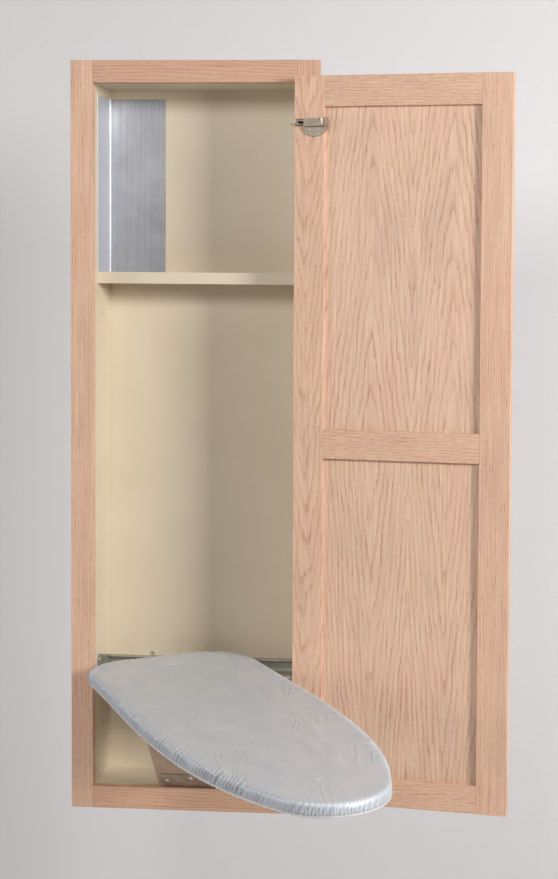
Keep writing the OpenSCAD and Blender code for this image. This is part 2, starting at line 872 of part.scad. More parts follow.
// steel cup in the door, its half-round flange below the arm and the tongue
// under the arm that joins them
module hinge_cup() {
    cup_depth = 11;
    cup_x = door_edge_x - cup_inset;
    flange_x = cup_x - 6;
    edge_x = door_edge_x + 1;
    slot = link_h / 2 + wing_t + 1;
    union() {
        difference() {
            translate([cup_x, door_inner_y, -cup_drop]) rotate([90, 0, 0])
                cylinder(r = cup_r, h = cup_depth);
            translate([cup_x, door_inner_y + 1, -cup_drop]) rotate([90, 0, 0])
                cylinder(r = cup_r - 1, h = cup_depth);
            block([cup_x, pin_y - barrel_r - 1, -slot], [edge_x, door_inner_y + 1, slot]);
        }
        intersection() {
            translate([flange_x, door_inner_y + flange_t, 0]) rotate([90, 0, 0])
                cylinder(r = cup_flange_r, h = flange_t);
            block([flange_x - cup_flange_r, door_inner_y - 1, -cup_flange_r],
                [flange_x + cup_flange_r, door_inner_y + flange_t + 1, -slot]);
        }
        block([door_edge_x - arm_end, door_inner_y, -slot - eps],
            [door_edge_x - arm_start - 4, door_inner_y + flange_t, arm_half_h]);
    }
}

module door_hinge_cups() {
    color(nickel) at_door() for (z = hinge_heights) translate([0, 0, z]) hinge_cup();
}

module door_hinge_cup_screws() {
    spots = [[-8.5, -12], [0.5, -19.3], [6.5, -19]];
    color(nickel) at_door() for (z = hinge_heights, spot = spots)
        translate([door_edge_x - cup_inset - 6 - spot[0], door_inner_y + flange_t,
            z + spot[1]])
            rotate([-90, 0, 0]) screw(1.8, 1, 1, flange_t + 6);
}

// ---- mirror on the door's outer face ----

module mirror_glass() {
    y = door_inner_y - door_t;
    color(silvered) at_door()
        block([door_edge_x - door_w + mirror_margin, y - mirror_t, door_z + mirror_margin],
            [door_edge_x - mirror_margin, y, door_z + door_h - mirror_margin]);
}

// draws its children at each clip, with +Z out from the edge of the mirror
module at_clips() {
    y = door_inner_y - door_t;
    mid_x = door_edge_x - door_w / 2;
    half_w = door_w / 2 - mirror_margin;
    half_h = door_h / 2 - mirror_margin;
    at_door() translate([mid_x, y, door_z + door_h / 2]) {
        for (x = [-0.55, 0.55], end = [0, 180])
            rotate([0, end, 0]) translate([x * half_w, 0, half_h]) children();
        for (z = [-0.5, 0.5], end = [90, -90])
            rotate([0, end, 0]) translate([z * half_h * (end > 0 ? 1 : -1), 0, half_w])
                children();
    }
}

module mirror_clips() {
    lip = 5;
    color(nickel) at_clips() union() {
        block([-clip_l / 2, -mirror_t, 0], [clip_l / 2, 0, 9]);
        block([-clip_l / 2, -mirror_t - 1.5, -lip], [clip_l / 2, -mirror_t, 9]);
    }
}

module mirror_clip_screws() {
    color(nickel) at_clips() translate([0, -mirror_t - 1.5, 4.5]) rotate([90, 0, 0])
        screw(2.6, 1, screw_shank_r, mirror_t + 7);
}

left_stile();
right_stile();
top_rail();
bottom_rail();
left_side_panel();
right_side_panel();
top_panel();
bottom_panel();
back_panel();
shelf();
heat_shield();
cross_channel();
channel_brackets();
channel_screws();
foot_hinge_fixed_leaf();
foot_hinge_pin();
foot_hinge_floor_screws();
brace_panel();
foot_hinge_brace_leaf();
foot_hinge_brace_screws();
top_hinge_brace_leaf();
top_hinge_pin();
platform();
top_hinge_platform_leaf();
platform_rear_bar();
swivel_base_plate();
swivel_base_screws();
pivot_bolt();
pivot_nut();
board_core();
board_pad();
board_cover();
hem_elastic();
swivel_board_plate();
swivel_board_screws();
door_hinge_frame_plates();
door_hinge_plate_screws();
door_hinge_stile();
door_outer_stile();
door_top_rail();
door_middle_rail();
door_bottom_rail();
door_upper_panel();
door_lower_panel();
door_hinge_arms();
door_hinge_cups();
door_hinge_pins();
door_hinge_cup_screws();
mirror_glass();
mirror_clips();
mirror_clip_screws();
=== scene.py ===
"""Recessed ironing board cabinet with a mirror door, seen open with its board down.

Metres, in the frame of the solids: the cabinet faces -Y and +Z is up.
"""
import math

import bmesh
import bpy
from mathutils import Matrix, Vector, kdtree, noise


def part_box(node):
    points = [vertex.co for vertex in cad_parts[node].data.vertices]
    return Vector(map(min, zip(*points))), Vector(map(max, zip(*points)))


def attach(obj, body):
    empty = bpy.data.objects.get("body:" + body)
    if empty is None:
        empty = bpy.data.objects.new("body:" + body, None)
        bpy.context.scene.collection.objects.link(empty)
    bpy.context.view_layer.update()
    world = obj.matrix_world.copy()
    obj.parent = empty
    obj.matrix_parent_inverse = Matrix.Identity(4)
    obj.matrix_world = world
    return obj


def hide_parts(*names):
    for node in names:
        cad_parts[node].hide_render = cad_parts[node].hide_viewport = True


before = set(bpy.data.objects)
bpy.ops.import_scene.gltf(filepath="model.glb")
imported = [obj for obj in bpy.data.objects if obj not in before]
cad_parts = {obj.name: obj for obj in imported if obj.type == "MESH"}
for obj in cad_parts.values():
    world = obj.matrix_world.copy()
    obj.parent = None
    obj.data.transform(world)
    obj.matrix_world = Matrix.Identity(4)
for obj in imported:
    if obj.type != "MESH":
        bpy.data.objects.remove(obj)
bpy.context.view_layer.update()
bpy.ops.object.select_all(action="DESELECT")


# ---- the board, with the sizes that its solids have ----

SWIVEL = Vector((0.0, -0.0965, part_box("board_core")[0].z))
BOARD_TURN = math.radians(30.9)
HALF_WIDE_END = 0.1345
WIDE_END_Y = 0.1165
CORNER_R = 0.072
NOSE_R = 0.081
BOARD_LENGTH = 0.793
NOSE_Y = WIDE_END_Y - BOARD_LENGTH + NOSE_R
NOSE_TAPER = math.radians(24.5)
STRAIGHT_RUN = 0.225
TAPER_RUN = 0.225
CORE_T = 0.0127
PAD_T = 0.005

# how far the cover's hem reaches in under the core, and how much wider it is cut
HEM_REACH = 0.020

# the folds that the elastic gathers into the cover's rim: their spacing, how far a crest
# stands above a crease and a crease lies inside the skin, and how much less of both there
# is round the nose, so that the folded board clears the shelf
BROAD_FOLD = 0.0078
FINE_FOLD = 0.0043
FOLD_RISE = 0.0050
FOLD_SINK = 0.0020
LESS_RISE = 0.0033
LESS_SINK = 0.0007

# the least and the most that the cloth may leave its skin as it settles, and in how many
# steps it settles
LEAST_SLACK, MOST_SLACK = -0.0004, 0.0014
SETTLING_STEPS = 20

# the door's angle from closed, the way its outer face looks, and the brace's lean from
# upright
DOOR_OPEN = math.radians(171.8)
DOOR_OUT = Vector((math.sin(DOOR_OPEN), -math.cos(DOOR_OPEN), 0.0))
BRACE_LEAN = math.radians(46.154)

# the photograph's size, focal length and optical centre in its pixels
PHOTO_WIDE, PHOTO_HIGH = 558, 879
FOCAL = 1551.27
CENTRE_X, CENTRE_Y = 428.69, 343.42
SENSOR = 36.0


# ---- small helpers ----

def linear(code):
    """An sRGB hex colour as the linear values that a shader takes."""
    parts = [int(code[k:k + 2], 16) / 255 for k in (1, 3, 5)]
    return [c / 12.92 if c <= 0.04045 else ((c + 0.055) / 1.055) ** 2.4 for c in parts] + [1.0]


def add(tree, kind, feeds=None, **settings):
    """Adds a node with its settings, and gives its sockets a value, a hex colour or a link."""
    node = tree.nodes.new(kind)
    for name, value in settings.items():
        setattr(node, name, value)
    for socket, source in (feeds or {}).items():
        if isinstance(source, bpy.types.NodeSocket):
            tree.links.new(source, node.inputs[socket])
        else:
            plain = linear(source) if isinstance(source, str) else source
            node.inputs[socket].default_value = plain
    return node


def calc(tree, operation, *values):
    """The result of a maths node on plain values and links."""
    return add(tree, "ShaderNodeMath", dict(enumerate(values)), operation=operation).outputs[0]


def mapped(tree, place, **change):
    """Coordinates with another Location, Rotation or Scale, the scaling done first."""
    return add(tree, "ShaderNodeMapping", {"Vector": place, **change}).outputs[0]


def cloud(tree, place, scale, detail, **more):
    """A noise pattern, stretched if its scale has one number for each axis."""
    if isinstance(scale, tuple):
        place = mapped(tree, place, Scale=scale)
        scale = 1.0
    feeds = {"Vector": place, "Scale": scale, "Detail": detail, **more}
    return add(tree, "ShaderNodeTexNoise", feeds).outputs["Fac"]


def ramp(tree, source, *marks):
    """A pattern as a colour ramp with these (place, sRGB hex or grey) stops shows it."""
    node = add(tree, "ShaderNodeValToRGB", {"Fac": source})
    elements = node.color_ramp.elements
    while len(elements) < len(marks):
        elements.new(1.0)
    for element, (place, shade) in zip(elements, marks):
        element.position = place
        element.color = linear(shade) if isinstance(shade, str) else (shade, shade, shade, 1.0)
    return node.outputs["Color"]


def mixed(tree, factor, low, high, blend_type="MIX"):
    """The second colour over the first by a factor from 0 to 1."""
    return add(tree, "ShaderNodeMix", {"Factor": factor, 6: low, 7: high}, data_type="RGBA",
               blend_type=blend_type).outputs[2]


def new_material(name, **surface):
    """A material with these values in its surface shader, its tree and its coordinates."""
    material = bpy.data.materials.new(name)
    material.use_nodes = True
    tree = material.node_tree
    for socket, value in surface.items():
        tree.nodes["Principled BSDF"].inputs[socket.replace("_", " ")].default_value = value
    return material, tree, add(tree, "ShaderNodeTexCoord").outputs["Object"]


def paint(tree, colour, gloss=None):
    """Gives the surface shader its colour pattern, and a roughness pattern if there is one."""
    sockets = tree.nodes["Principled BSDF"].inputs
    tree.links.new(colour, sockets["Base Color"])
    if gloss:
        tree.links.new(gloss, sockets["Roughness"])


def relief(tree, height, depth, strength):
    """Turns a height pattern into bump, depth metres deep."""
    bump = add(tree, "ShaderNodeBump",
               {"Height": height, "Distance": depth, "Strength": strength})
    tree.links.new(bump.outputs["Normal"], tree.nodes["Principled BSDF"].inputs["Normal"])


def dress(material, *nodes):
    """Gives solids of the frame this material."""
    for name in nodes:
        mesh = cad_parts[name].data
        mesh.materials.clear()
        mesh.materials.append(material)


def ease(width, segments, *nodes):
    """Rounds the sharp edges of solids of the frame, as sanding or deburring does."""
    for name in nodes:
        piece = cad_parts[name]
        weld = piece.modifiers.new("weld", "WELD")
        weld.merge_threshold = 0.00002
        edge = piece.modifiers.new("eased edges", "BEVEL")
        edge.width = width
        edge.segments = segments
        edge.limit_method = "ANGLE"
        edge.angle_limit = math.radians(35)
        edge.harden_normals = False


def linked(name, data):
    """An object of the scene that shows this data."""
    piece = bpy.data.objects.new(name, data)
    bpy.context.collection.objects.link(piece)
    return piece


def work_on(piece):
    """Makes a piece the only one selected, and the active one."""
    bpy.ops.object.select_all(action="DESELECT")
    piece.select_set(True)
    bpy.context.view_layer.objects.active = piece


# ---- finishes ----

def red_oak(name, pale, dark, along, heart, ring, climb, pith, seam=None, wander=0.010):
    """Sanded bare red oak, flat cut: arches of growth rings and open pores in fine dashes.

    along is the grain's axis and heart the place across it where the arches stand. Rings
    are ring metres apart; climb is their slant along the grain, up when positive, and pith
    how far the cut passes the heart. seam is the x of a book match's mirror line.
    """
    material, tree, place = new_material(name, Roughness=0.62, IOR=1.5)
    parts = add(tree, "ShaderNodeSeparateXYZ", {"Vector": place}).outputs
    across, length = (parts["X"], parts["Z"]) if along == "z" else (parts["Z"], parts["X"])
    if seam is not None:
        across = calc(tree, "ABSOLUTE", calc(tree, "SUBTRACT", across, seam))
    grain = add(tree, "ShaderNodeCombineXYZ",
                {"X": across, "Y": parts["Y"], "Z": length}).outputs[0]
    # the slow wander of the rings, over some 150 mm along and 40 mm across
    drift = cloud(tree, grain, (24.0, 8.0, 6.0), 2.0)
    bend = calc(tree, "SUBTRACT", drift, 0.5)
    offset = calc(tree, "SUBTRACT", calc(tree, "MULTIPLY_ADD", bend, wander, across), heart)
    reach = calc(tree, "SQRT", calc(tree, "MULTIPLY_ADD", offset, offset, pith * pith))
    risen = calc(tree, "MULTIPLY_ADD", length, climb, reach)
    # a shiver of the rings, 4 mm across and 40 mm along
    shiver = cloud(tree, grain, (120.0, 60.0, 14.0), 3.0, Roughness=0.6)
    count = calc(tree, "MULTIPLY_ADD", risen, 1.0 / ring, shiver)
    line = ramp(tree, calc(tree, "FRACT", count), (0.0, 1.0), (0.12, 0.70), (0.34, 0.14),
                (0.75, 0.0), (0.95, 0.15), (1.0, 1.0))
    patches = mapped(tree, grain, Scale=(55.0, 30.0, 9.0), Location=(3.0, 0.0, 7.0))
    vivid = ramp(tree, cloud(tree, patches, 1.0, 2.0), (0.34, 0.35), (0.62, 1.0))
    drawn = calc(tree, "MULTIPLY", line, vivid)
    # pores: dashes 0.6 mm wide and 9 mm long, most of them in the rings' dark part
    pore = ramp(tree, cloud(tree, grain, (850.0, 850.0, 55.0), 1.0), (0.54, 0.0), (0.68, 1.0))
    pitted = calc(tree, "MULTIPLY", pore, calc(tree, "MULTIPLY_ADD", drawn, 0.60, 0.14))
    wood = mixed(tree, pitted, mixed(tree, drawn, pale, dark), "#a27a60")
    # fibres 2 mm across, and the broad pinkish and yellowish tones
    fibre = cloud(tree, grain, (420.0, 420.0, 7.0), 2.0)
    strand = ramp(tree, fibre, (0.32, "#efe8e2"), (0.66, "#ffffff"))
    tone = ramp(tree, drift, (0.30, "#fff3ee"), (0.50, "#fffaf2"), (0.70, "#f6efe9"))
    combed = mixed(tree, 1.0, wood, strand, "MULTIPLY")
    paint(tree, mixed(tree, 1.0, combed, tone, "MULTIPLY"))
    relief(tree, calc(tree, "MULTIPLY", pitted, -1.0), 0.0002, 0.4)
    return material


def melamine():
    """Cream melamine-faced board: a hard resin film with a faint pressed pebble texture."""
    material, tree, place = new_material("cream melamine", Roughness=0.42, IOR=1.54)
    paint(tree, ramp(tree, cloud(tree, place, 7.0, 3.0), (0.3, "#d3c5ac"), (0.7, "#d9ccb5")))
    relief(tree, cloud(tree, place, 1400.0, 1.0), 0.00006, 0.35)
    return material


def galvanised_sheet():
    """Galvanised steel sheet: a dull zinc skin with rolling lines, stains and a few scratches."""
    material, tree, place = new_material("galvanised sheet", Metallic=0.65, Roughness=0.34)
    stains = cloud(tree, place, 11.0, 5.0, Roughness=0.6)
    rolled = cloud(tree, place, (420.0, 420.0, 5.0), 2.0)
    spangle = add(tree, "ShaderNodeTexVoronoi", {"Vector": place, "Scale": 160.0})
    grey = mixed(tree, 0.07, rolled.node.outputs["Color"], spangle.outputs["Color"])
    blend = mixed(tree, 0.55, grey, stains)
    tint = ramp(tree, blend, (0.34, "#85868b"), (0.50, "#98999d"), (0.66, "#abacaf"))
    strokes = mapped(tree, place, Rotation=(0.0, 1.1, 0.0), Scale=(9.0, 60.0, 260.0))
    scratch = ramp(tree, cloud(tree, strokes, 1.0, 1.0), (0.74, 0.0), (0.78, 0.5))
    # painted highlight: the leg on the case's side catches the light, so it is painted much paler
    # than the back leg
    across = add(tree, "ShaderNodeSeparateXYZ", {"Vector": place}).outputs["X"]
    side_leg = calc(tree, "LESS_THAN", across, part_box("heat_shield")[0].x + 0.0015)
    legs = mixed(tree, side_leg, tint, "#dde1e7")
    gloss = ramp(tree, blend, (0.35, 0.38), (0.65, 0.30))
    paint(tree, mixed(tree, scratch, legs, "#808185"), gloss)
    relief(tree, rolled, 0.0002, 0.3)
    return material


def plated_steel(name, pale, deep, roughness, stretch=(1.0, 1.0, 1.0)):
    """Plated pressed steel: an even metal skin with faint drawing lines and handling marks."""
    material, tree, place = new_material(name, Metallic=0.75, Roughness=roughness)
    streak = cloud(tree, mapped(tree, place, Scale=stretch), 700.0, 2.0)
    smear = cloud(tree, place, 60.0, 3.0)
    half = calc(tree, "MULTIPLY", calc(tree, "ADD", streak, smear), 0.5)
    gloss = ramp(tree, half, (0.35, roughness + 0.10), (0.65, roughness - 0.05))
    paint(tree, ramp(tree, half, (0.35, deep), (0.65, pale)), gloss)
    relief(tree, streak, 0.00003, 0.3)
    return material


def hardboard():
    """Tempered brown hardboard: pressed fibre with a slight sheen on its smooth face."""
    material, tree, place = new_material("brown hardboard", Roughness=0.5, IOR=1.5)
    fibre = cloud(tree, place, 420.0, 4.0, Roughness=0.7)
    both = mixed(tree, 0.5, fibre, cloud(tree, place, 24.0, 2.0))
    paint(tree, ramp(tree, both, (0.35, "#a0846d"), (0.65, "#bfa289")))
    relief(tree, fibre, 0.00012, 0.5)
    return material


def birch_plywood(name, low, high, turn):
    """Birch plywood lying level: pale faces, and plies 1.4 mm thick along the edges.

    Its face grain runs along Y, turned about Z.
    """
    material, tree, lying = new_material(name, Roughness=0.6, IOR=1.5)
    place = mapped(tree, lying, Rotation=(0.0, 0.0, -turn))
    figure = cloud(tree, place, (240.0, 12.0, 240.0), 3.0)
    face = ramp(tree, figure, (0.3, "#c9a97c"), (0.7, "#e0c79d"))
    height = add(tree, "ShaderNodeSeparateXYZ", {"Vector": place}).outputs["Z"]
    wave = calc(tree, "SINE", calc(tree, "MULTIPLY", height, 2 * math.pi / 0.0028))
    layer = ramp(tree, wave, (0.35, 1.0), (0.55, 0.62))
    inside = calc(tree, "COMPARE", height, (low + high) / 2, (high - low) / 2 - 0.0003)
    edge = mixed(tree, inside, "#ffffff", layer)
    paint(tree, mixed(tree, 1.0, face, edge, "MULTIPLY"))
    relief(tree, figure, 0.0001, 0.4)
    return material


def silver_cotton():
    """Aluminium-coated cotton cover cloth: satin grey, a plain weave under a metal film."""
    material, tree, place = new_material("silver coated cotton", Metallic=0.26,
                                         Roughness=0.48, Sheen_Weight=0.1)
    # threads are 0.4 mm apart, drawn at 0.9 mm so that they show
    threads = [add(tree, "ShaderNodeTexWave", {"Vector": place, "Scale": 350.0},
                   wave_type="BANDS", bands_direction=way).outputs["Fac"] for way in "XY"]
    weave = calc(tree, "MULTIPLY", *threads)
    thread = ramp(tree, weave, (0.0, "#f0f0f0"), (1.0, "#ffffff"))
    wear = cloud(tree, place, 22.0, 4.0, Roughness=0.6)
    rubbed = ramp(tree, wear, (0.3, "#c9ced4"), (0.7, "#d2d6db"))
    woven = mixed(tree, 1.0, rubbed, thread, "MULTIPLY")
    # painted shade: where a point lies deep in a crease, the cloth is darkened towards dark grey,
    # as the folds would shade it
    crease = add(tree, "ShaderNodeAttribute", attribute_name="crease").outputs["Fac"]
    painted_crease_shade = ramp(tree, crease, (0.15, 0.0), (0.75, 0.6))
    gloss = ramp(tree, wear, (0.3, 0.52), (0.7, 0.44))
    paint(tree, mixed(tree, painted_crease_shade, woven, "#4c4f53"), gloss)
    # drag creases on the top: 14 mm apart, 90 mm long, 14 degrees off the board's own line
    turned = mapped(tree, place, Rotation=(0.0, 0.0, math.radians(-17)))
    folds = cloud(tree, turned, (70.0, 11.0, 1.0), 1.5, Distortion=0.4)
    ridge = ramp(tree, folds, (0.44, 0.0), (0.50, 1.0), (0.57, 0.0))
    where = ramp(tree, cloud(tree, place, 9.0, 1.0), (0.50, 0.0), (0.66, 1.0))
    drag = calc(tree, "MULTIPLY", ridge, where)
    relief(tree, calc(tree, "MULTIPLY_ADD", weave, 0.06, drag), 0.0012, 0.6)
    return material


def speckled(name, scale, detail, low, high, bump=None, **surface):
    """A material with a fine noise between two colours, raised by the same noise if asked."""
    material, tree, place = new_material(name, **surface)
    specks = cloud(tree, place, scale, detail)
    paint(tree, ramp(tree, specks, (0.3, low), (0.7, high)))
    if bump:
        relief(tree, specks, *bump)
    return material


def near_white_hem_cloth():
    """A near-white cloth, given to the cover's faces along its turned hem."""
    return speckled("near-white hem cloth", 500.0, 3.0, "#dedcd6", "#f7f5f1", Roughness=0.85)


def cotton_felt():
    """Needled cotton felt: matt off-white fibres without a weave."""
    return speckled("cotton felt", 600.0, 4.0, "#cfcabc", "#e6e2d6", bump=(0.0004, 0.6),
                    Roughness=0.95, Sheen_Weight=0.3)


def silvered_glass():
    """Mirror glass seen from the front: a silver film with the faintest haze."""
    return speckled("silvered float glass", 3.0, 1.0, "#e4ebe9", "#e9efed", Metallic=1.0,
                    Roughness=0.015)


def ground_glass_edge():
    """The ground edge of float glass: green from its iron, matt from the wheel."""
    return speckled("ground glass edge", 500.0, 1.0, "#7fa596", "#a3c2b4", Roughness=0.35,
                    IOR=1.52)


def woven_elastic():
    """White woven elastic in a cotton casing, its threads about 1 mm apart."""
    material, tree, place = new_material("woven elastic", Roughness=0.85, Sheen_Weight=0.2)
    threads = add(tree, "ShaderNodeTexVoronoi", {"Vector": place, "Scale": 900.0})
    gap = threads.outputs["Distance"]
    paint(tree, ramp(tree, gap, (0.0, "#d9d8d2"), (0.6, "#f2f1ec")))
    relief(tree, gap, 0.0002, 0.5)
    return material


def dress_the_frame():
    """Puts a finish on each solid that stays in the scene."""
    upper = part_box("door_upper_panel")
    middle = (upper[0].x + upper[1].x) / 2
    hinge_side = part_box("door_hinge_stile")
    dress(red_oak("red oak left face stile", "#debfaa", "#cfaa93", "z", -0.30, 0.0045,
                  0.012, 0.03), "left_stile")
    dress(red_oak("red oak right face stile", "#d4b39e", "#c49e88", "z", 0.03, 0.005,
                  -0.02, 0.03), "right_stile")
    dress(red_oak("red oak face rails", "#d1ae97", "#bd967f", "x", -0.12, 0.0055, 0.02,
                  0.03, wander=0.016), "top_rail", "bottom_rail")
    dress(red_oak("red oak hinge stile", "#e1c3ad", "#cfa992", "z", hinge_side[0].x + 0.020,
                  0.0075, -0.13, 0.010, wander=0.030), "door_hinge_stile")
    dress(red_oak("red oak outer stile", "#e0c1ab", "#cda892", "z", 0.30, 0.0038, 0.02,
                  0.02, wander=0.012), "door_outer_stile")
    dress(red_oak("red oak door rails", "#debea7", "#cda78f", "x", 0.50, 0.0048, 0.018,
                  0.02, wander=0.020), "door_top_rail", "door_middle_rail", "door_bottom_rail")
    dress(red_oak("book-matched veneer, arches up", "#e2c6b2", "#cba893", "z", 0.066,
                  0.0090, 0.125, 0.007, seam=middle + 0.016, wander=0.016),
          "door_upper_panel")
    dress(red_oak("book-matched veneer, arches down", "#e1c5b0", "#cba792", "z", 0.060,
                  0.0080, -0.085, 0.007, seam=middle + 0.012, wander=0.018),
          "door_lower_panel")
    dress(melamine(), "left_side_panel", "right_side_panel", "top_panel", "bottom_panel",
          "back_panel", "shelf")
    dress(plated_steel("zinc plated channel steel", "#b9b8ae", "#97968c", 0.38,
                       (0.02, 1.0, 1.0)),
          "cross_channel", "channel_brackets", "platform_rear_bar")
    dress(plated_steel("zinc plated swivel plates", "#c0c0bb", "#a3a39d", 0.35),
          "swivel_base_plate", "swivel_board_plate", "pivot_bolt", "pivot_nut")
    dress(plated_steel("satin nickel hinges", "#b3a593", "#877a6b", 0.36),
          "foot_hinge_fixed_leaf", "foot_hinge_pin", "foot_hinge_brace_leaf",
          "top_hinge_brace_leaf", "top_hinge_pin", "top_hinge_platform_leaf",
          "door_hinge_frame_plates", "door_hinge_arms", "door_hinge_cups", "door_hinge_pins",
          "mirror_clips")
    dress(plated_steel("bright hinge screws", "#dcd8cf", "#b5afa4", 0.25),
          "door_hinge_plate_screws", "door_hinge_cup_screws")
    dress(hardboard(), "brace_panel")
    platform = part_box("platform")
    dress(birch_plywood("birch platform", platform[0].z, platform[1].z, 0.0), "platform")
    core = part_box("board_core")
    dress(birch_plywood("birch core", core[0].z, core[1].z, BOARD_TURN), "board_core")
    ease(0.0008, 2, "left_stile", "right_stile", "top_rail", "bottom_rail",
         "door_hinge_stile", "door_outer_stile", "door_top_rail", "door_middle_rail",
         "door_bottom_rail")
    ease(0.0004, 1, "shelf", "brace_panel", "platform", "board_core")
    ease(0.0003, 2, "cross_channel", "channel_brackets", "swivel_base_plate",
         "swivel_board_plate", "foot_hinge_fixed_leaf", "foot_hinge_brace_leaf",
         "top_hinge_brace_leaf", "top_hinge_platform_leaf", "door_hinge_frame_plates",
         "door_hinge_arms", "door_hinge_cups", "mirror_clips", "pivot_nut", "pivot_bolt",
         "door_hinge_plate_screws", "door_hinge_cup_screws")


# ---- the board's cover, pad and elastic ----

def half_outline():
    """The right half of the core's outline as (point, outward normal) pairs, wide end first."""
    corner = Vector((HALF_WIDE_END - CORNER_R, WIDE_END_Y - CORNER_R))
    points = [(Vector((corner.x * k / 40, WIDE_END_Y)), Vector((0.0, 1.0))) for k in range(40)]
    for k in range(121):
        a = math.radians(90 - 90 * k / 120)
        out = Vector((math.cos(a), math.sin(a)))
        points.append((corner + CORNER_R * out, out))
    start = Vector((HALF_WIDE_END, corner.y))
    slant = Vector((math.sin(NOSE_TAPER), math.cos(NOSE_TAPER)))
    nose = Vector((0.0, NOSE_Y))
    end = nose + NOSE_R * Vector((math.cos(NOSE_TAPER), -math.sin(NOSE_TAPER)))
    bend = (start, start - Vector((0.0, STRAIGHT_RUN)), end + TAPER_RUN * slant, end)
    for k in range(1, 400):
        t = k / 400
        s = 1 - t
        here = (s ** 3 * bend[0] + 3 * s * s * t * bend[1] + 3 * s * t * t * bend[2]
                + t ** 3 * bend[3])
        way = (s * s * (bend[1] - bend[0]) + 2 * s * t * (bend[2] - bend[1])
               + t * t * (bend[3] - bend[2])).normalized()
        points.append((here, Vector((-way.y, way.x))))
    for k in range(121):
        a = -NOSE_TAPER - (math.pi / 2 - NOSE_TAPER) * k / 120
        out = Vector((math.cos(a), math.sin(a)))
        points.append((nose + NOSE_R * out, out))
    return points


def walk_outline(count):
    """count places evenly spaced round the core: (point, normal, distance, spine point)."""
    right = half_outline()
    left = [(Vector((-p.x, p.y)), Vector((-n.x, n.y))) for p, n in reversed(right)]
    loop = right + left[1:-1]
    loop.append(loop[0])
    gone = [0.0]
    for (a, _), (b, _) in zip(loop, loop[1:]):
        gone.append(gone[-1] + (b - a).length)
    step = gone[-1] / count
    places = []
    k = 0
    for i in range(count):
        while gone[k + 1] < i * step:
            k += 1
        t = (i * step - gone[k]) / (gone[k + 1] - gone[k])
        point = loop[k][0].lerp(loop[k + 1][0], t)
        out = loop[k][1].lerp(loop[k + 1][1], t).normalized()
        spine = Vector((0.0, min(max(point.y, NOSE_Y + 0.02), WIDE_END_Y - CORNER_R)))
        places.append((point, out, i * step, spine))
    return places, gone[-1]


def cover_rows(inner_rows):
    """The cover's section from its hem to its middle: (inset, height, tilt, gather, middle).

    tilt is the skin's angle above level, gather how strongly the elastic puckers that row,
    and middle how far the row has closed up on the board's centre line.
    """
    top = CORE_T + PAD_T + 0.001
    side = -0.0016
    edge_r = 0.0058
    level = 0.052
    rows = [(HEM_REACH - 0.0035 * k, -0.0012, -90, 0.55 + 0.09 * k, 0.0) for k in range(6)]
    rows += [(0.0005, -0.0010, -65, 0.5, 0.0), (side + 0.0004, 0.0006, -25, 0.5, 0.0),
             (side, 0.0021, 0, 0.62, 0.0), (side, 0.0042, 0, 1.0, 0.0)]
    rows += [(side, 0.0068 + 0.0022 * k, 0, 1.0 - 0.05 * k, 0.0) for k in range(3)]
    for k in range(1, 7):
        a = math.radians(15 * k)
        rows.append((side + edge_r * (1 - math.cos(a)), top - edge_r * (1 - math.sin(a)),
                     15 * k, 0.80 - 0.075 * k, 0.0))
    for inset in (0.0062, 0.0084, 0.0112, 0.0148, 0.0195, 0.0255, 0.033, 0.042, level):
        rows.append((inset, top + 0.0012 * (1 - math.exp(-inset / 0.03)), 90,
                     0.42 * math.exp(-(inset - 0.006) / 0.015), 0.0))
    for k in range(1, inner_rows + 1):
        rows.append((level, top + 0.0011, 90, 0.0, k / inner_rows))
    return rows


def skin(place, row):
    """The point and the outward direction of the cover at a place round it and a row."""
    point, out, _, spine = place
    inset, height, tilt, _, middle = row
    flat = (point - inset * out).lerp(spine, middle)
    a = math.radians(tilt)
    return (Vector((flat.x, flat.y, height)),
            Vector((out.x * math.cos(a), out.y * math.cos(a), math.sin(a))))


def on_board(v):
    """A point of the board's own frame where the board lies at rest."""
    return SWIVEL + Matrix.Rotation(BOARD_TURN, 3, "Z") @ v


def ring_mesh(name, rings, closed_section=False, creases=None):
    """A mesh through rings of equal counts, set down on the board.

    creases gives each point a value that is kept as the attribute "crease".
    """
    mesh = bpy.data.meshes.new(name)
    around = len(rings[0])
    points = [on_board(p) for ring in rings for p in ring]
    pairs = list(zip(range(len(rings)), range(1, len(rings))))
    if closed_section:
        pairs.append((len(rings) - 1, 0))
    faces = [(a * around + i, a * around + (i + 1) % around,
              b * around + (i + 1) % around, b * around + i)
             for a, b in pairs for i in range(around)]
    mesh.from_pydata(points, [], faces)
    if creases:
        mesh.attributes.new("crease", "FLOAT", "POINT").data.foreach_set("value", creases)
    built = bmesh.new()
    built.from_mesh(mesh)
    bmesh.ops.remove_doubles(built, verts=built.verts, dist=0.00002)
    bmesh.ops.dissolve_degenerate(built, edges=built.edges, dist=0.00001)
    bmesh.ops.recalc_face_normals(built, faces=built.faces)
    built.to_mesh(mesh)
    built.free()
    mesh.polygons.foreach_set("use_smooth", [True] * len(mesh.polygons))
    return linked(name, mesh)


